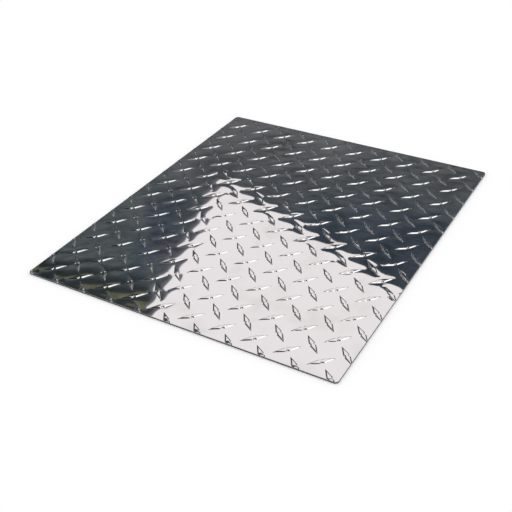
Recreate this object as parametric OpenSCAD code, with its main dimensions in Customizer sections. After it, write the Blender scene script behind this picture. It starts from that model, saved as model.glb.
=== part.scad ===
// Bright aluminium checker plate: one rolled sheet with raised lugs on its
// upper face. The lugs stand in two families that cross at right angles. The
// sheet was cut from a larger one, so its edges run through some of the lugs.
// Frame: origin at the middle of the underside, X across, Y along, Z up.

/* [Sheet] */
// Width of the sheet, along X
sheet_w = 381; // [120:0.1:800]
// Length of the sheet, along Y
sheet_l = 457.2; // [120:0.1:800]
// Thickness of the sheet between the lugs
sheet_t = 2; // [1:0.1:6]
// Radius of the eased corners
corner_r = 4; // [1:0.5:12]

/* [Lugs] */
// Length of a lug at its foot, from tip to tip
lug_len = 31; // [18:0.1:33]
// Width of a lug at its foot, across the middle
lug_w = 7.4; // [5:0.1:9]
// Height of a lug above the sheet
lug_h = 1; // [0.5:0.1:2]
// How far a flank leans in between its foot and the flat top
lug_run = 1.1; // [0.3:0.1:1.5]
// Angle between a lug and the X axis
lug_angle = 45; // [40:1:50]

/* [Pattern] */
// Distance between neighbouring lugs of one family, along X and along Y
pitch = 37.2; // [32:0.1:60]
// First lug that rises to the right: distance from the left edge
first_x = 19.8; // [5:0.1:30]
// First lug that rises to the right: distance from the near edge
first_y = 20; // [5:0.1:30]

/* [Hidden] */
$fn = 48;

// Depth to which a lug reaches into the sheet, so that both are one solid
lug_root = 0.5;
// A lug that reaches less than this inside the edge is left off
least_sliver = 2;

// A rhombus shrinks evenly on all sides, so its top is its foot, scaled
lug_inradius = lug_len * lug_w / (2 * sqrt(lug_len * lug_len + lug_w * lug_w));
top_scale = 1 - lug_run / lug_inradius;
root_scale = 1 + lug_run * lug_root / (lug_h * lug_inradius);

// Half of the box that a turned lug fills, along X and along Y
reach_x = (lug_len * cos(lug_angle) + lug_w * sin(lug_angle)) / 2;
reach_y = (lug_len * sin(lug_angle) + lug_w * cos(lug_angle)) / 2;

// Lugs needed to cover the sheet from edge to edge
columns = ceil((sheet_w + 2 * reach_x) / pitch);
rows = ceil((sheet_l + 2 * reach_y) / pitch);

function rhombus(size, z) = [
    [size * lug_len / 2, 0, z],
    [0, size * lug_w / 2, z],
    [-size * lug_len / 2, 0, z],
    [0, -size * lug_w / 2, z]
];

// Outline of the sheet: a rectangle with eased corners
module outline() {
    square([sheet_w - 2 * corner_r, sheet_l], center = true);
    square([sheet_w, sheet_l - 2 * corner_r], center = true);
    for (x = [-1, 1], y = [-1, 1])
        translate([x * (sheet_w / 2 - corner_r), y * (sheet_l / 2 - corner_r)])
            circle(corner_r);
}

// One lug along X: four leaning flanks and a flat top
module lug() {
    polyhedron(
        points = concat(rhombus(root_scale, -lug_root), rhombus(top_scale, lug_h)),
        faces = [
            [0, 1, 2, 3],
            [7, 6, 5, 4],
            for (i = [0:3]) [i, i + 4, (i + 1) % 4 + 4, (i + 1) % 4]
        ]
    );
}

// One lug in its place, cut off where it crosses the edge of the sheet
module placed_lug(x, y, angle) {
    inside_x = sheet_w / 2 - abs(x);
    inside_y = sheet_l / 2 - abs(y);
    whole = inside_x > reach_x && inside_y > reach_y;
    seen = inside_x > least_sliver - reach_x && inside_y > least_sliver - reach_y;
    if (whole)
        translate([x, y, sheet_t])
            rotate(angle)
                lug();
    else if (seen)
        intersection() {
            translate([x, y, sheet_t])
                rotate(angle)
                    lug();
            linear_extrude(sheet_t + lug_h)
                outline();
        }
}

// The first family rises to the right, the second one fills its gaps
module lugs() {
    for (i = [-1:columns], j = [-1:rows]) {
        x = first_x - sheet_w / 2 + i * pitch;
        y = first_y - sheet_l / 2 + j * pitch;
        placed_lug(x, y, lug_angle);
        placed_lug(x + pitch / 2, y + pitch / 2, -lug_angle);
    }
}

module checker_plate() {
    color("gainsboro") {
        linear_extrude(sheet_t)
            outline();
        lugs();
    }
}

checker_plate();
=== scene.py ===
import math

import bmesh
import bpy
import numpy as np
from bpy.props import FloatProperty, FloatVectorProperty, PointerProperty
from bpy.types import Operator, Panel, PropertyGroup
from mathutils import Matrix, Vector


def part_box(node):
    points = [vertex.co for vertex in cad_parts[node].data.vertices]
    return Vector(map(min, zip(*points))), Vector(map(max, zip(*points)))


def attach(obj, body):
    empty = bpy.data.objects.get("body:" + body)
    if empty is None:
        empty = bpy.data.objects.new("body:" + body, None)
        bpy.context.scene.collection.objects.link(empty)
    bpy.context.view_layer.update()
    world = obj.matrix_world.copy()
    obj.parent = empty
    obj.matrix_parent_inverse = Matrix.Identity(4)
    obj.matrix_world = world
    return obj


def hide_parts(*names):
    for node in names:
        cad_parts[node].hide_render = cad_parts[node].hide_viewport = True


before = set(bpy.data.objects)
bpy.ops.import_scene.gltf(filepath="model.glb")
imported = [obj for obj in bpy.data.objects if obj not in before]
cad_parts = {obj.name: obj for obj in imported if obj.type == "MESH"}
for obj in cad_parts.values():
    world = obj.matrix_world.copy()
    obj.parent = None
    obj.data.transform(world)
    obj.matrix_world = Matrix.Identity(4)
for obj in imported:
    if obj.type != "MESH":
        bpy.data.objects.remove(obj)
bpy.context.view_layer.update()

bl_info = {
    "name": "Bright checker plate",
    "version": (1, 0, 0),
    "blender": (4, 5, 0),
    "location": "View3D > Sidebar > Checker plate",
    "description": "Builds a sheet of bright aluminium checker plate and the studio that it lies in",
    "category": "Object",
}

MM = 0.001
NODE = "checker_plate"
SHEET = "tread_sheet"
LOW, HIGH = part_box(NODE)
# Lengths and parts of a direction below this count as zero
TINY = 1e-9


def linear(code):
    """Linear colour, with an alpha of 1, of an sRGB hex code such as #f5f5f6."""
    srgb = np.array([int(code[i:i + 2], 16) for i in (1, 3, 5)]) / 255
    line = np.where(srgb <= 0.04045, srgb / 12.92, ((srgb + 0.055) / 1.055) ** 2.4)
    return (*line.tolist(), 1.0)


class PlateSizes(PropertyGroup):
    """Sizes of the sheet and of its lugs."""

    width: FloatProperty(
        name="Width", description="Sheet across, along X", default=HIGH.x - LOW.x, unit="LENGTH")
    length: FloatProperty(
        name="Length", description="Sheet along Y", default=HIGH.y - LOW.y, unit="LENGTH")
    corner: FloatProperty(
        name="Corner radius", description="Eased corners of the sheet", default=4 * MM, unit="LENGTH")
    pitch: FloatProperty(
        name="Pitch", description="Spacing of like lugs along X and Y", default=37.2 * MM, unit="LENGTH")
    first_x: FloatProperty(
        name="First lug, X", description="From the left edge", default=19.8 * MM, unit="LENGTH")
    first_y: FloatProperty(
        name="First lug, Y", description="From the near edge", default=20.0 * MM, unit="LENGTH")
    lug_length: FloatProperty(
        name="Lug length", description="From tip to tip at the foot", default=31 * MM, unit="LENGTH")
    lug_width: FloatProperty(
        name="Lug width", description="Across the middle at the foot", default=7.4 * MM, unit="LENGTH")
    lug_height: FloatProperty(
        name="Lug height", description="Lug above the sheet", default=1.0 * MM, unit="LENGTH")
    lug_run: FloatProperty(
        name="Flank run", description="How far a flank leans in", default=1.1 * MM, unit="LENGTH")
    foot_soft: FloatProperty(
        name="Foot softness", description="Share of the run that the hollow at its foot takes",
        default=0.15)
    crest_soft: FloatProperty(
        name="Crest softness", description="Share of the run that the rounded crest takes",
        default=0.2)
    crown: FloatProperty(
        name="Crown", description="How much lower a lug's top is at its tips",
        default=0.28 * MM, unit="LENGTH")
    tip_fall: FloatProperty(
        name="Tip fall", description="Further drop close to the tips", default=0.25 * MM, unit="LENGTH")
    camber: FloatProperty(
        name="Camber", description="Drop of a lug's top towards the blunt corners",
        default=0.12 * MM, unit="LENGTH")
    waist_round: FloatProperty(
        name="Waist rounding", description="Rounding of a lug's blunt corners",
        default=0.4 * MM, unit="LENGTH")
    notch: FloatProperty(
        name="Notch", description="Depth of the small notch at the blunt corners",
        default=1.6 * MM, unit="LENGTH")
    notch_reach: FloatProperty(
        name="Notch reach", description="Half width of that notch", default=0.85 * MM, unit="LENGTH")
    tip_round: FloatProperty(
        name="Tip rounding", description="Rounding of a lug's sharp tips",
        default=0.1 * MM, unit="LENGTH")
    dip: FloatProperty(
        name="Dip", description="Depth to which rolling draws the sheet down round a lug",
        default=0.075 * MM, unit="LENGTH")
    dip_reach: FloatProperty(
        name="Dip reach", description="Distance in which the dip falls to about a third",
        default=5 * MM, unit="LENGTH")
    edge_share: FloatProperty(
        name="Edge share", description="Share of a lug's height that the shear leaves at the edge",
        default=0.3)
    edge_reach: FloatProperty(
        name="Edge reach", description="How far in from the edge the shear presses lugs down",
        default=4 * MM, unit="LENGTH")


class PlateFinish(PropertyGroup):
    """Colours of the metal and of the studio."""

    bright_face: FloatVectorProperty(
        name="Bright face", description="Polished rolled metal",
        subtype="COLOR", size=4, default=linear("#f5f5f6"))
    hazed_face: FloatVectorProperty(
        name="Hazed face", description="The same metal where handling has dulled it",
        subtype="COLOR", size=4, default=linear("#e9e8e8"))
    mill_face: FloatVectorProperty(
        name="Mill face", description="Plain rolled metal of the underside",
        subtype="COLOR", size=4, default=linear("#cfd0d1"))
    # Edge colours: a burnished band over a duller torn band. Both are painted darker than the metal, as
    # painted shade, so that the edge shows as a dark line.
    cut_edge_with_painted_shade: FloatVectorProperty(
        name="Cut edge", description="Metal that the shear has burnished",
        subtype="COLOR", size=4, default=linear("#86868a"))
    torn_edge_with_painted_shade: FloatVectorProperty(
        name="Torn edge", description="Metal that tore off below the cut",
        subtype="COLOR", size=4, default=linear("#57575a"))
    floor: FloatVectorProperty(
        name="Floor", description="Studio floor",
        subtype="COLOR", size=4, default=linear("#ffffff"))


def settings(context):
    """The sizes and finishes of the scene that is being built."""
    return context.scene.plate_sizes, context.scene.plate_finish


# The surface of the sheet as a height over its plan

def soft_ramp(x, soft):
    """Zero before 0 and x after it, joined by a parabola from -soft to soft.
    Gives the value and its slope."""
    slope = np.clip((x + soft) / (2 * soft), 0, 1)
    value = np.where(x > soft, x, np.clip(x + soft, 0, None) ** 2 / (4 * soft))
    return value, slope


def notch_bell(u, s):
    """Depth of the notch at the blunt corners, as a bell curve along the lug."""
    return s.notch * np.exp(-(u / s.notch_reach) ** 2 / 2)


def flank_distance(u, v, s):
    """Signed distance from the foot of a lug's flank: each side of the rhombus is the line
    |u| / half length + |v| / half width = 1, and a root of a sum of squares stands for |u| and |v|,
    so that blunt corners and tips are rounded. A bell curve along the lug cuts a notch into the
    blunt corners. Gives the distance and its gradient."""
    half_l, half_w = s.lug_length / 2, s.lug_width / 2
    scale = math.hypot(1 / half_l, 1 / half_w)
    along = np.sqrt(u * u + s.waist_round ** 2)
    across = np.sqrt(v * v + s.tip_round ** 2)
    notch = notch_bell(u, s)
    distance = (along / half_l + across / half_w - 1) / scale + notch
    d_u = u / along / half_l / scale - notch * u / s.notch_reach ** 2
    d_v = v / across / half_w / scale
    return distance, d_u, d_v


def rhombus_gap(u, v, s):
    """Plain distance to the rhombus of a lug's foot, from the nearest point of the side
    that runs from its tip to its waist. Gives the distance and its gradient, 0 inside."""
    half_l, half_w = s.lug_length / 2, s.lug_width / 2
    x, y = np.abs(u), np.abs(v)
    share = np.clip((half_l * (half_l - x) + half_w * y) / (half_l ** 2 + half_w ** 2), 0, 1)
    off_u, off_v = x - half_l * (1 - share), y - half_w * share
    outside = x / half_l + y / half_w > 1
    gap = np.where(outside, np.hypot(off_u, off_v), 0)
    far = np.where(outside, np.maximum(gap, TINY), 1)
    gap_u = np.where(outside, off_u / far, 0) * np.sign(u)
    gap_v = np.where(outside, off_v / far, 0) * np.sign(v)
    return gap, gap_u, gap_v


def lug_relief(u, v, s):
    """Height that one lug adds: a ramp from 0 at the flank's foot to the lug's height at its run,
    rounded at both ends. Its top falls off as a parabola towards the tips, with the sixth power
    close to them, and with the fourth power towards the blunt corners. Around it the sheet is
    drawn down, by an amount that dies away with distance. Gives the height and its gradient."""
    distance, d_u, d_v = flank_distance(u, v, s)
    rise = -distance / s.lug_run
    foot, foot_slope = soft_ramp(rise, s.foot_soft)
    top, top_slope = soft_ramp(rise - 1, s.crest_soft)
    out, aside = 2 * u / s.lug_length, 2 * v / s.lug_width
    full = s.lug_height - s.crown * out ** 2 - s.tip_fall * out ** 6 - s.camber * aside ** 4
    fall_u = (2 * s.crown * out + 6 * s.tip_fall * out ** 5) * 2 / s.lug_length
    fall_v = 4 * s.camber * aside ** 3 * 2 / s.lug_width
    steep = -full / s.lug_run * (foot_slope - top_slope)
    gap, gap_u, gap_v = rhombus_gap(u, v, s)
    drawn = s.dip * np.exp(-gap / s.dip_reach)
    g_u = steep * d_u - fall_u * (foot - top) + drawn / s.dip_reach * gap_u
    g_v = steep * d_v - fall_v * (foot - top) + drawn / s.dip_reach * gap_v
    return full * (foot - top) - drawn, g_u, g_v


def lattice_axes(x, y, s):
    """Plan coordinates turned by 45 degrees about the first lug, so that all lugs stand on
    a square lattice whose side is the pitch divided by the root of two."""
    dx = x + s.width / 2 - s.first_x
    dy = y + s.length / 2 - s.first_y
    return (dx + dy) / math.sqrt(2), (dy - dx) / math.sqrt(2)


def edge_press(x, y, s):
    """Share of the relief that is left where the shear has pressed the lugs down: a cubic step
    from a low share at the sheet's edge to 1 a short way inside, along X times along Y.
    Gives the share and its gradient."""
    in_x = np.clip((s.width / 2 - np.abs(x)) / s.edge_reach, 0, 1)
    in_y = np.clip((s.length / 2 - np.abs(y)) / s.edge_reach, 0, 1)
    step_x, step_y = in_x ** 2 * (3 - 2 * in_x), in_y ** 2 * (3 - 2 * in_y)
    slope_x = -np.sign(x) * 6 * in_x * (1 - in_x) / s.edge_reach
    slope_y = -np.sign(y) * 6 * in_y * (1 - in_y) / s.edge_reach
    gain = 1 - s.edge_share
    return s.edge_share + gain * step_x * step_y, gain * slope_x * step_y, gain * step_x * slope_y


def sheet_relief(x, y, s):
    """Height of the whole upper face over its plan: the sum of the relief of the nine lugs
    nearest to each point, pressed down near the edge. Lugs at even places of the lattice lie
    along its first axis, the others along its second. Gives the height and its gradient along
    X and Y."""
    side = s.pitch / math.sqrt(2)
    along, across = lattice_axes(x, y, s)
    m, n = np.round(along / side), np.round(across / side)
    height, g_along, g_across = np.zeros_like(x), np.zeros_like(x), np.zeros_like(x)
    for i in (-1, 0, 1):
        for j in (-1, 0, 1):
            p, q = along - (m + i) * side, across - (n + j) * side
            even = (m + i + n + j) % 2 == 0
            h, g_u, g_v = lug_relief(np.where(even, p, q), np.where(even, q, p), s)
            height += h
            g_along += np.where(even, g_u, g_v)
            g_across += np.where(even, g_v, g_u)
    g_x, g_y = (g_along - g_across) / math.sqrt(2), (g_along + g_across) / math.sqrt(2)
    share, share_x, share_y = edge_press(x, y, s)
    return height * share, g_x * share + height * share_x, g_y * share + height * share_y


# The mesh of the sheet

# Places along one quarter of a lug's side, from its tip (0) to its blunt corner (1). Their number
# is odd, so that one of them meets the corner of the cell
QUARTER = np.array([0, 0.06, 0.5, 0.82, 0.9, 0.955, 1])
# Size of the inner ring on a lug's top against the top's rim, along and across
TOP_RING = np.array([0.8, 0.5])
# Share of the way from the foot of a lug to the border of its cell
BASE_RINGS = (0.18, 0.5, 1)
# How far a cell reaches from its middle, along the lug and across it, in sides of the lattice
CELL_TIP, CELL_WAIST = 0.7, 0.3
# Turn from one tangent of a corner's arc to the next, in degrees
CORNER_STEP = 15
# Cells are merged where their points fall on the same place of this grid
MERGE_GRID = 0.001 * MM
# Points closer than this to a cut lie on it, and edges shorter than this are dropped
CUT_SNAP = 0.002 * MM


def four_quarters(u, v):
    """A quarter from the tip to the waist, mirrored into a closed ring, counterclockwise."""
    ring_u = np.concatenate([u[:-1], -u[:0:-1], -u[:-1], u[:0:-1]])
    ring_v = np.concatenate([v[:-1], v[:0:-1], -v[:-1], -v[:0:-1]])
    return np.stack([ring_u, ring_v], axis=1)


def lug_ring(level, s):
    """The closed line at one distance from the flank's foot: for each u, the v that solves
    the equation of flank_distance."""
    half_l, half_w = s.lug_length / 2, s.lug_width / 2
    scale = math.hypot(1 / half_l, 1 / half_w)
    size = 1 + level * s.lug_run * scale
    tip = math.sqrt((half_l * (size - s.tip_round / half_w)) ** 2 - s.waist_round ** 2)
    u = tip * (1 - QUARTER)
    size = 1 + (level * s.lug_run - notch_bell(u, s)) * scale
    across = half_w * (size - np.sqrt(u * u + s.waist_round ** 2) / half_l)
    return four_quarters(u, np.sqrt(np.clip(across ** 2 - s.tip_round ** 2, 0, None)))


def cell_ring(side):
    """The border of a lug's cell: an eight-cornered star that tiles with its neighbours."""
    tip, corner, waist = (CELL_TIP, 0), (0.5, 0.5), (0, CELL_WAIST)
    places = np.linspace(0, 2, len(QUARTER))
    u = np.interp(places, (0, 1, 2), (tip[0], corner[0], waist[0])) * side
    v = np.interp(places, (0, 1, 2), (tip[1], corner[1], waist[1])) * side
    return four_quarters(u, v)


def cell_template(s):
    """Plan of one cell: a ring on a lug's top, rings at the ends of its rounded edges, then rings
    that run from its foot to the border of the cell. Gives the points and the faces, four corners
    each."""
    side = s.pitch / math.sqrt(2)
    levels = [-(1 + s.crest_soft), -(1 - s.crest_soft), -s.foot_soft, s.foot_soft]
    rings = [lug_ring(level, s) for level in levels]
    border, foot = cell_ring(side), rings[-1]
    rings = [rings[0] * TOP_RING] + rings + [foot + share * (border - foot) for share in BASE_RINGS]
    count = len(border)
    inner = (np.arange(len(rings) - 1)[:, None] * count + np.arange(count)).ravel()
    turn = (np.arange(len(rings) - 1)[:, None] * count + (np.arange(count) + 1) % count).ravel()
    bands = np.stack([inner, inner + count, turn + count, turn], axis=1)
    j = np.arange(count // 2)
    top = np.stack([j, j + 1, count - 1 - j, (count - j) % count], axis=1)
    return np.concatenate(rings), np.concatenate([top, bands])


def tiled_cells(s):
    """The cell repeated over the lattice, turned by a right angle at odd places, for every
    place whose cell reaches the sheet. Gives plan points and faces of all cells."""
    side = s.pitch / math.sqrt(2)
    points, faces = cell_template(s)
    span = int((s.width + s.length) / side) + 2
    m, n = (a.ravel() for a in np.meshgrid(np.arange(-span, span), np.arange(-span, span)))
    root = math.sqrt(2)
    x = (m - n) * side / root - s.width / 2 + s.first_x
    y = (m + n) * side / root - s.length / 2 + s.first_y
    near = (np.abs(x) < s.width / 2 + side) & (np.abs(y) < s.length / 2 + side)
    m, n, x, y = m[near], n[near], x[near], y[near]
    odd = ((m + n) % 2 == 1)[:, None]
    along = np.where(odd, -points[:, 1], points[:, 0])
    across = np.where(odd, points[:, 0], points[:, 1])
    plan = np.stack([x[:, None] + (along - across) / root, y[:, None] + (along + across) / root], axis=2)
    every = faces[None] + (np.arange(len(m)) * len(points))[:, None, None]
    return plan.reshape(-1, 2), every.reshape(-1, 4)


def outline_planes(s):
    """Points and outward directions of the planes that cut the sheet out of the tiling:
    four sides, and tangents of the arc at each eased corner."""
    turns = np.radians(np.arange(0, 360, CORNER_STEP))
    outward = np.stack([np.cos(turns), np.sin(turns)], axis=1)
    inset = np.array([s.width, s.length]) / 2 - s.corner
    quadrant = np.where(np.abs(outward) < TINY, 0, np.sign(outward))
    return quadrant * inset + outward * s.corner, outward


def read_faces(mesh):
    """The mesh's points, and its faces as one row of corners with each face's length."""
    points = np.empty(len(mesh.vertices) * 3)
    mesh.vertices.foreach_get("co", points)
    corners = np.empty(len(mesh.loops), dtype=np.int32)
    mesh.loops.foreach_get("vertex_index", corners)
    lengths = np.empty(len(mesh.polygons), dtype=np.int32)
    mesh.polygons.foreach_get("loop_total", lengths)
    return points.reshape(-1, 3), corners, lengths


def trimmed_plan(s):
    """The tiling, merged where cells meet and cut along the sheet's outline. Gives its points,
    corners and face lengths."""
    plan, faces = tiled_cells(s)
    places = np.round(plan / MERGE_GRID)
    _, first, where = np.unique(places, axis=0, return_index=True, return_inverse=True)
    flat = np.concatenate([plan[first], np.zeros((len(first), 1))], axis=1)
    mesh = bpy.data.meshes.new("plan")
    mesh.from_pydata(flat.tolist(), [], where.reshape(-1)[faces].tolist())
    mesh.validate()
    work = bmesh.new()
    work.from_mesh(mesh)
    for point, outward in zip(*outline_planes(s)):
        bmesh.ops.bisect_plane(
            work, geom=work.verts[:] + work.edges[:] + work.faces[:], dist=CUT_SNAP,
            plane_co=(*point, 0), plane_no=(*outward, 0), clear_outer=True)
    bmesh.ops.dissolve_degenerate(work, edges=work.edges[:], dist=CUT_SNAP)
    work.to_mesh(mesh)
    work.free()
    trimmed = read_faces(mesh)
    bpy.data.meshes.remove(mesh)
    return trimmed


def face_starts(lengths):
    """Where each face begins in the row of all corners."""
    return np.concatenate([[0], np.cumsum(lengths)[:-1]])


def open_edges(corners, lengths):
    """Edges that only one face uses, in the direction in which that face runs through them."""
    starts = face_starts(lengths)
    after = np.arange(len(corners)) + 1
    after[starts + lengths - 1] = starts
    a, b = corners, corners[after]
    key = np.minimum(a, b).astype(np.int64) * (corners.max() + 1) + np.maximum(a, b)
    _, where, count = np.unique(key, return_inverse=True, return_counts=True)
    single = count[where.reshape(-1)] == 1
    return a[single], b[single]


def sheet_arrays(s, thickness):
    """The whole skin: upper face lifted to its relief, a straight wall under each open edge, and
    the flat underside as a fan about its middle. Gives points, corners, face lengths, the normal
    at each corner and each face's material slot: 0 for the upper face, 1 for the walls and 2 for
    the underside."""
    plan, corners, lengths = trimmed_plan(s)
    height, g_x, g_y = sheet_relief(plan[:, 0], plan[:, 1], s)
    upper = np.column_stack([plan[:, :2], thickness + height])
    normal = np.column_stack([-g_x, -g_y, np.ones(len(plan))])
    normal /= np.linalg.norm(normal, axis=1)[:, None]
    a, b = open_edges(corners, lengths)
    rim = np.unique(a)
    under = np.zeros(len(plan), dtype=np.int32)
    under[rim] = len(plan) + np.arange(len(rim))
    lower = np.column_stack([plan[rim, :2], np.zeros(len(rim))])
    middle = len(plan) + len(rim)
    points = np.concatenate([upper, lower, [[0, 0, 0]]])
    wall = np.stack([b, a, under[a], under[b]], axis=1)
    fan = np.stack([under[b], under[a], np.full(len(a), middle)], axis=1)
    way = plan[b, :2] - plan[a, :2]
    outward = np.column_stack([way[:, 1], -way[:, 0], np.zeros(len(a))])
    outward /= np.linalg.norm(outward, axis=1)[:, None]
    down = np.tile([0, 0, -1.0], (fan.size, 1))
    normals = np.concatenate([normal[corners], np.repeat(outward, 4, axis=0), down])
    all_corners = np.concatenate([corners, wall.ravel(), fan.ravel()])
    all_lengths = np.concatenate([lengths, np.full(len(a), 4), np.full(len(a), 3)])
    slots = np.repeat(np.arange(3, dtype=np.int32), [len(lengths), len(a), len(a)])
    return points, all_corners, all_lengths, normals, slots


def mesh_from_arrays(name, points, corners, lengths, normals, slots):
    """Puts points, faces, material slots and corner normals into a new mesh."""
    mesh = bpy.data.meshes.new(name)
    mesh.vertices.add(len(points))
    mesh.vertices.foreach_set("co", points.ravel())
    mesh.loops.add(len(corners))
    mesh.loops.foreach_set("vertex_index", corners.astype(np.int32))
    mesh.polygons.add(len(lengths))
    mesh.polygons.foreach_set("loop_start", face_starts(lengths).astype(np.int32))
    mesh.polygons.foreach_set("material_index", slots)
    mesh.polygons.foreach_set("use_smooth", np.ones(len(lengths), dtype=bool))
    mesh.update(calc_edges=True)
    if mesh.validate():
        raise RuntimeError("the sheet's mesh has faulty faces")
    mesh.normals_split_custom_set(normals.tolist())
    return mesh


# Materials

def add(tree, kind, inputs=None, **values):
    """Adds a node, sets its values, and fills its inputs with numbers or with links."""
    node = tree.nodes.new(kind)
    for key, value in values.items():
        setattr(node, key, value)
    for key, value in (inputs or {}).items():
        if isinstance(value, bpy.types.NodeSocket):
            tree.links.new(value, node.inputs[key])
        else:
            node.inputs[key].default_value = value
    return node


def new_tree(block):
    """An empty node tree of a material or world."""
    block.use_nodes = True
    block.node_tree.nodes.clear()
    return block.node_tree


def bright_rolled_aluminium(finish):
    """Aluminium rolled between polished rolls: close to a mirror, so the eye sees the room in
    it. Slow waves of the sheet bend that picture, drawn-out lines along the rolling direction
    blur it a little, and handling leaves hazy clouds."""
    wave_length, line_width, line_length, cloud_size = 22 * MM, 2.5 * MM, 150 * MM, 60 * MM
    wave_height, line_height = 0.008 * MM, 0.0006 * MM
    haze_starts, haze_full = 0.48, 0.78
    clear_rough, hazed_rough = 0.015, 0.03
    material = bpy.data.materials.new("bright_rolled_aluminium")
    tree = new_tree(material)
    place = add(tree, "ShaderNodeTexCoord").outputs["Object"]
    cloud = add(tree, "ShaderNodeTexNoise", {
        "Vector": place, "Scale": 1 / cloud_size, "Detail": 4.0, "Roughness": 0.6})
    drawn_out = add(tree, "ShaderNodeMapping", {
        "Vector": place, "Scale": (1 / line_width, 1 / line_length, 1 / line_width)})
    lines = add(tree, "ShaderNodeTexNoise", {
        "Vector": drawn_out.outputs["Vector"], "Scale": 1.0, "Detail": 3.0, "Roughness": 0.7})
    waves = add(tree, "ShaderNodeTexNoise", {"Vector": place, "Scale": 1 / wave_length, "Detail": 1.0})
    haze = add(tree, "ShaderNodeMapRange", {
        "Value": cloud.outputs["Fac"], "From Min": haze_starts, "From Max": haze_full},
        interpolation_type="SMOOTHSTEP")
    colour = add(tree, "ShaderNodeMix", {
        "Factor": haze.outputs["Result"], "A": tuple(finish.bright_face), "B": tuple(finish.hazed_face)},
        data_type="RGBA")
    rough = add(tree, "ShaderNodeMapRange", {
        "Value": haze.outputs["Result"], "To Min": clear_rough, "To Max": hazed_rough})
    swell = add(tree, "ShaderNodeBump", {
        "Height": waves.outputs["Fac"], "Strength": 1.0, "Distance": wave_height})
    grain = add(tree, "ShaderNodeBump", {
        "Height": lines.outputs["Fac"], "Strength": 1.0, "Distance": line_height,
        "Normal": swell.outputs["Normal"]})
    shader = add(tree, "ShaderNodeBsdfPrincipled", {
        "Base Color": colour.outputs["Result"], "Metallic": 1.0, "Roughness": rough.outputs["Result"],
        "Normal": grain.outputs["Normal"]})
    add(tree, "ShaderNodeOutputMaterial", {"Surface": shader.outputs["BSDF"]})
    return material


def sheared_aluminium_with_painted_shade(finish, thickness):
    """Aluminium cut with a shear: the blade burnishes the upper part of the edge, and the rest tears off
    dull.
    Both colours are painted much darker than the metal is, as painted shade, so that the edge shows as a
    dark line. Fine drag marks run down the edge."""
    mark_width, mark_length, mark_depth, tear_size = 0.4 * MM, 6 * MM, 0.03 * MM, 5 * MM
    burnish_low, burnish_high, tear_span = 0.5 * thickness, 0.7 * thickness, 0.4 * thickness
    torn_rough, cut_rough = 0.5, 0.3
    material = bpy.data.materials.new("sheared_aluminium_with_painted_shade")
    tree = new_tree(material)
    place = add(tree, "ShaderNodeTexCoord").outputs["Object"]
    height = add(tree, "ShaderNodeSeparateXYZ", {0: place}).outputs["Z"]
    tear = add(tree, "ShaderNodeTexNoise", {"Vector": place, "Scale": 1 / tear_size, "Detail": 3.0})
    uneven = add(tree, "ShaderNodeMath", {
        0: tear.outputs["Fac"], 1: tear_span, 2: -tear_span / 2}, operation="MULTIPLY_ADD")
    line = add(tree, "ShaderNodeMath", {0: height, 1: uneven.outputs[0]}, operation="ADD")
    burnished = add(tree, "ShaderNodeMapRange", {
        "Value": line.outputs[0], "From Min": burnish_low, "From Max": burnish_high})
    stretched = add(tree, "ShaderNodeMapping", {
        "Vector": place, "Scale": (1 / mark_width, 1 / mark_width, 1 / mark_length)})
    marks = add(tree, "ShaderNodeTexNoise", {
        "Vector": stretched.outputs["Vector"], "Scale": 1.0, "Detail": 2.0})
    # Mixes the two edge colours. Besides the duller tear, both carry painted shade.
    colour = add(tree, "ShaderNodeMix", {
        "Factor": burnished.outputs["Result"], "A": tuple(finish.torn_edge_with_painted_shade), "B": tuple(finish.cut_edge_with_painted_shade)},
        data_type="RGBA")
    rough = add(tree, "ShaderNodeMapRange", {
        "Value": burnished.outputs["Result"], "To Min": torn_rough, "To Max": cut_rough})
    bump = add(tree, "ShaderNodeBump", {
        "Height": marks.outputs["Fac"], "Strength": 1.0, "Distance": mark_depth})
    shader = add(tree, "ShaderNodeBsdfPrincipled", {
        "Base Color": colour.outputs["Result"], "Metallic": 1.0, "Roughness": rough.outputs["Result"],
        "Normal": bump.outputs["Normal"]})
    add(tree, "ShaderNodeOutputMaterial", {"Surface": shader.outputs["BSDF"]})
    return material


def mill_finish_aluminium(finish):
    """Aluminium as it leaves a plain roll: an even, silky grey with fine lines along the rolling
    direction. The lines are drawn coarser than they are, so that they show."""
    line_width, line_length, line_depth, patch_size = 0.8 * MM, 120 * MM, 0.004 * MM, 70 * MM
    least_rough, most_rough = 0.24, 0.4
    material = bpy.data.materials.new("mill_finish_aluminium")
    tree = new_tree(material)
    place = add(tree, "ShaderNodeTexCoord").outputs["Object"]
    drawn_out = add(tree, "ShaderNodeMapping", {
        "Vector": place, "Scale": (1 / line_width, 1 / line_length, 1 / line_width)})
    lines = add(tree, "ShaderNodeTexNoise", {
        "Vector": drawn_out.outputs["Vector"], "Scale": 1.0, "Detail": 3.0, "Roughness": 0.6})
    patches = add(tree, "ShaderNodeTexNoise", {"Vector": place, "Scale": 1 / patch_size, "Detail": 3.0})
    colour = add(tree, "ShaderNodeMix", {
        "Factor": patches.outputs["Fac"], "A": tuple(finish.mill_face), "B": tuple(finish.hazed_face)},
        data_type="RGBA")
    rough = add(tree, "ShaderNodeMapRange", {
        "Value": lines.outputs["Fac"], "To Min": least_rough, "To Max": most_rough})
    bump = add(tree, "ShaderNodeBump", {
        "Height": lines.outputs["Fac"], "Strength": 1.0, "Distance": line_depth})
    shader = add(tree, "ShaderNodeBsdfPrincipled", {
        "Base Color": colour.outputs["Result"], "Metallic": 1.0, "Roughness": rough.outputs["Result"],
        "Normal": bump.outputs["Normal"]})
    add(tree, "ShaderNodeOutputMaterial", {"Surface": shader.outputs["BSDF"]})
    return material


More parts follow.
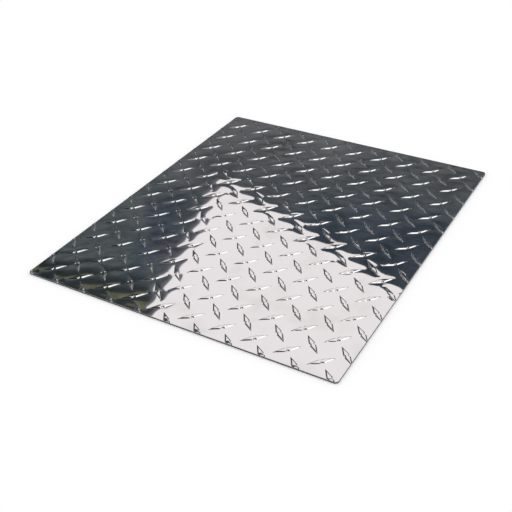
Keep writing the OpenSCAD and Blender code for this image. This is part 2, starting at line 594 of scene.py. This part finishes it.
class PLATE_OT_tread_sheet(Operator):
    """Build the rolled sheet with its lugs"""

    bl_idname = "plate.tread_sheet"
    bl_label = "Build the sheet"

    def execute(self, context):
        sizes, finish = settings(context)
        thickness = HIGH.z - LOW.z - sizes.lug_height
        points, corners, lengths, normals, slots = sheet_arrays(sizes, thickness)
        mesh = mesh_from_arrays(SHEET, points, corners, lengths, normals, slots)
        mesh.materials.append(bright_rolled_aluminium(finish))
        mesh.materials.append(sheared_aluminium_with_painted_shade(finish, thickness))
        mesh.materials.append(mill_finish_aluminium(finish))
        sheet = bpy.data.objects.new(SHEET, mesh)
        context.scene.collection.objects.link(sheet)
        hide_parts(NODE)
        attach(sheet, "root")
        return {"FINISHED"}


# The studio: what the metal mirrors, the floor and the camera

# The camera: its place in metres, how it is turned in degrees, lens and sensor in millimetres, and
# the nearest and farthest distance that it sees
CAMERA_PLACE = (0.42457, -0.76512, 0.54377)
CAMERA_AZIMUTH, CAMERA_ELEVATION, CAMERA_ROLL = 30.66, 34.29, -1.63
CAMERA_LENS, CAMERA_SENSOR = 59.35, 36
CAMERA_NEAR, CAMERA_FAR = 0.01, 100

# How far the floor reaches each way, and how far it lies below the sheet
FLOOR_REACH, FLOOR_DROP = 20.0, 0.1 * MM

# The room's colour by the height of the direction in which it is seen, from 0 level to 1 overhead
ROOM = (
    (0.0, "#2c2e30"), (0.3, "#4e5051"), (0.41, "#636465"), (0.47, "#535658"),
    (0.53, "#3f464e"), (0.58, "#394048"), (0.7, "#363b42"), (0.93, "#55585b"))

# Panels that stand round the plate: corners as azimuth from +X towards +Y and elevation, both in
# degrees, then how soft their borders are in radians, as one value or one for each border, their
# colour and their brightness. Each one covers those before it
DIM_PANELS = (
    ("green-grey wall", ((127, 15), (128, 44), (156, 44), (156, 15)), 0.04, "#52585a", 1),
    ("dark strip beside the pale panel", ((125.4, 29.6), (130.4, 36), (132.6, 35.6), (127.6, 29.4)),
     0.016, "#454b55", 1),
    ("dark bench", ((129, 35.6), (129, 37.8), (147, 30.9), (147, 28.7)), 0.014, "#2f3537", 1),
    ("olive card on the bench", ((129, 37.35), (129, 40.5), (147, 33.6), (147, 30.2)),
     0.006, "#626350", 1),
    ("grey wall at the left", ((160, 20), (160, 46), (186, 46), (196, 20)), 0.03, "#66686a", 1),
    ("grey wall at the right", ((78, 11), (78, 30), (97, 30), (97, 11)), 0.03, "#6a6a6a", 1),
    ("dark corner behind", ((-110, 38), (-110, 74), (-60, 78), (-48, 38)), 0.05, "#222528", 1),
)
LIGHT_PANELS = (
    ("rim of the pale panel",
     ((123.25, 29), (100, 39.22), (80, 43.15), (80, 72), (134.2, 72), (132.2, 40.15)),
     (0.003, 0.003, 0.003, 0.003, 0.003, 0.012), "#857f86", 1),
    ("pale panel ahead",
     ((123.1, 29.1), (100, 39.36), (80, 43.3), (80, 72), (134, 72), (132, 40.3)),
     (0.0012, 0.0012, 0.0012, 0.0012, 0.0012, 0.003), "#efeaea", 1),
    ("ceiling light", ((-60, 84), (-10, 72), (60, 70), (120, 78)), 0.012, "#dfe0e0", 1),
    ("soft box behind the camera", ((-40, 58), (0, 40), (29, 38), (46, 68), (-58, 72)),
     (0.03, 0.02, 0.04, 0.05, 0.06), "#ffffff", 1.05),
    ("bright middle of the soft box", ((1, 42), (26, 40), (38, 66), (-3, 54)), 0.05, "#ffffff", 1.4),
    ("bright end of the soft box", ((-40, 60), (-16, 54), (-10, 67), (-58, 73)), 0.05, "#ffffff", 1.4),
    ("pale panel at the left", ((202, 4), (205, 44), (226, 36), (230, 4)), 0.004, "#d9d9da", 1),
    ("pale panel behind", ((252, 5), (250, 36), (272, 42), (276, 5)), 0.004, "#dcdbda", 1),
    ("low panel behind", ((284, 3), (286, 20), (312, 16), (314, 3)), 0.004, "#d4d4d6", 1),
    ("pale panel at the right", ((40, 5), (43, 42), (60, 36), (64, 5)), 0.004, "#dddcdb", 1),
)

# Things that stand about in the room: how often they change across and upwards, how much they
# lighten or darken it and how far their colours differ
CLUTTER_SCALE = (24, 24, 56)
CLUTTER_GAIN = 2.0
CLUTTER_TINT = 0.15


def direction(azimuth, elevation):
    """Unit vector: azimuth turns from +X towards +Y, elevation is above the floor, in degrees."""
    a, e = math.radians(azimuth), math.radians(elevation)
    return np.array([math.cos(a) * math.cos(e), math.sin(a) * math.cos(e), math.sin(e)])


def border_normals(corners):
    """For each border of a panel, the normal of the plane through that border and the plate,
    pointing to the panel's side."""
    ways = np.array([direction(*corner) for corner in corners])
    normals = np.cross(ways, np.roll(ways, -1, axis=0))
    normals /= np.linalg.norm(normals, axis=1)[:, None]
    return normals * np.sign(normals @ ways.mean(axis=0))[:, None]


def panel_cover(tree, ray, corners, soft):
    """How far a ray lies within a panel, from 0 to 1: the product of a soft step at each border."""
    cover = 1.0
    for normal, half in zip(border_normals(corners), np.broadcast_to(soft, len(corners))):
        inward = add(tree, "ShaderNodeVectorMath", {0: ray, 1: tuple(normal)}, operation="DOT_PRODUCT")
        step = add(tree, "ShaderNodeMapRange", {
            "Value": inward.outputs["Value"], "From Min": -half, "From Max": half},
            interpolation_type="SMOOTHSTEP")
        both = add(tree, "ShaderNodeMath", {0: cover, 1: step.outputs["Result"]}, operation="MULTIPLY")
        cover = both.outputs[0]
    return cover


def with_panels(tree, ray, behind, panels):
    """The colour of the room with panels laid over it, one after the other."""
    for name, corners, soft, code, brightness in panels:
        red, green, blue, _ = linear(code)
        colour = (brightness * red, brightness * green, brightness * blue, 1.0)
        laid = add(tree, "ShaderNodeMix", {
            "Factor": panel_cover(tree, ray, corners, soft), "A": behind, "B": colour},
            data_type="RGBA", label=name)
        behind = laid.outputs["Result"]
    return behind


def studio_world():
    """What the metal mirrors: a dim room with panels and a soft box round the plate. All other
    rays get plain white light from all sides."""
    world = bpy.data.worlds.new("studio")
    tree = new_tree(world)
    ray = add(tree, "ShaderNodeTexCoord").outputs["Generated"]
    height = add(tree, "ShaderNodeSeparateXYZ", {0: ray}).outputs["Z"]
    room = add(tree, "ShaderNodeValToRGB", {"Fac": height})
    ramp = room.color_ramp
    while len(ramp.elements) < len(ROOM):
        ramp.elements.new(0.5)
    for element, (place, code) in zip(ramp.elements, ROOM):
        element.position, element.color = place, linear(code)
    seen = with_panels(tree, ray, room.outputs["Color"], DIM_PANELS)
    lengthened = add(tree, "ShaderNodeVectorMath", {0: ray, 1: CLUTTER_SCALE}, operation="MULTIPLY")
    clutter = add(tree, "ShaderNodeTexNoise", {
        "Vector": lengthened.outputs["Vector"], "Scale": 1.0, "Detail": 3.0, "Roughness": 0.6})
    tinted = add(tree, "ShaderNodeMix", {
        "Factor": CLUTTER_TINT, "A": clutter.outputs["Fac"], "B": clutter.outputs["Color"]},
        data_type="RGBA")
    shade = add(tree, "ShaderNodeVectorMath", {
        0: tinted.outputs["Result"], 1: (CLUTTER_GAIN,) * 3, 2: (1 - CLUTTER_GAIN / 2,) * 3},
        operation="MULTIPLY_ADD")
    mottled = add(tree, "ShaderNodeVectorMath", {
        0: seen, 1: shade.outputs["Vector"]}, operation="MULTIPLY")
    seen = with_panels(tree, ray, mottled.outputs["Vector"], LIGHT_PANELS)
    mirrored = add(tree, "ShaderNodeBackground", {"Color": seen, "Strength": 1.0})
    plain = add(tree, "ShaderNodeBackground", {"Color": (1, 1, 1, 1), "Strength": 1.0})
    path = add(tree, "ShaderNodeLightPath")
    light = add(tree, "ShaderNodeMixShader", {
        0: path.outputs["Is Glossy Ray"], 1: plain.outputs[0], 2: mirrored.outputs[0]})
    add(tree, "ShaderNodeOutputWorld", {"Surface": light.outputs[0]})
    world.cycles.sampling_method = "NONE"
    return world


def matt_white_paint(finish):
    """Matt white studio paint: plain white, with no gloss."""
    material = bpy.data.materials.new("matt_white_paint")
    tree = new_tree(material)
    shader = add(tree, "ShaderNodeBsdfDiffuse", {"Color": tuple(finish.floor)})
    add(tree, "ShaderNodeOutputMaterial", {"Surface": shader.outputs[0]})
    return material


class PLATE_OT_studio(Operator):
    """Lay the floor, light the room and place the camera"""

    bl_idname = "plate.studio"
    bl_label = "Build the studio"

    def execute(self, context):
        scene = context.scene
        _, finish = settings(context)
        corners = ((-1, -1), (1, -1), (1, 1), (-1, 1))
        mesh = bpy.data.meshes.new("floor")
        mesh.from_pydata(
            [(x * FLOOR_REACH, y * FLOOR_REACH, -FLOOR_DROP) for x, y in corners], [], [(0, 1, 2, 3)])
        mesh.materials.append(matt_white_paint(finish))
        floor = bpy.data.objects.new("floor", mesh)
        scene.collection.objects.link(floor)
        scene.world = studio_world()
        lens = bpy.data.cameras.new("camera")
        lens.lens, lens.sensor_width = CAMERA_LENS, CAMERA_SENSOR
        lens.clip_start, lens.clip_end = CAMERA_NEAR, CAMERA_FAR
        camera = bpy.data.objects.new("camera", lens)
        scene.collection.objects.link(camera)
        camera.location = CAMERA_PLACE
        spin = (Matrix.Rotation(math.radians(CAMERA_AZIMUTH), 3, "Z")
                @ Matrix.Rotation(math.radians(90 - CAMERA_ELEVATION), 3, "X")
                @ Matrix.Rotation(math.radians(CAMERA_ROLL), 3, "Z"))
        camera.rotation_euler = spin.to_euler("XYZ")
        scene.camera = camera
        scene.view_settings.view_transform = "Standard"
        return {"FINISHED"}


class PLATE_PT_sidebar(Panel):
    """Sizes and steps of the checker plate"""

    bl_label = "Checker plate"
    bl_space_type = "VIEW_3D"
    bl_region_type = "UI"
    bl_category = "Checker plate"

    def draw(self, context):
        sizes, finish = settings(context)
        for group in (sizes, finish):
            for key in group.__annotations__:
                self.layout.prop(group, key)
        for operator in (PLATE_OT_tread_sheet, PLATE_OT_studio):
            self.layout.operator(operator.bl_idname)


CLASSES = (PlateSizes, PlateFinish, PLATE_OT_tread_sheet, PLATE_OT_studio, PLATE_PT_sidebar)


def register():
    for item in CLASSES:
        bpy.utils.register_class(item)
    bpy.types.Scene.plate_sizes = PointerProperty(type=PlateSizes)
    bpy.types.Scene.plate_finish = PointerProperty(type=PlateFinish)


def unregister():
    del bpy.types.Scene.plate_finish
    del bpy.types.Scene.plate_sizes
    for item in reversed(CLASSES):
        bpy.utils.unregister_class(item)


def main():
    """Builds the studio and the sheet."""
    register()
    bpy.ops.plate.studio()
    bpy.ops.plate.tread_sheet()


if __name__ == "__main__":
    main()
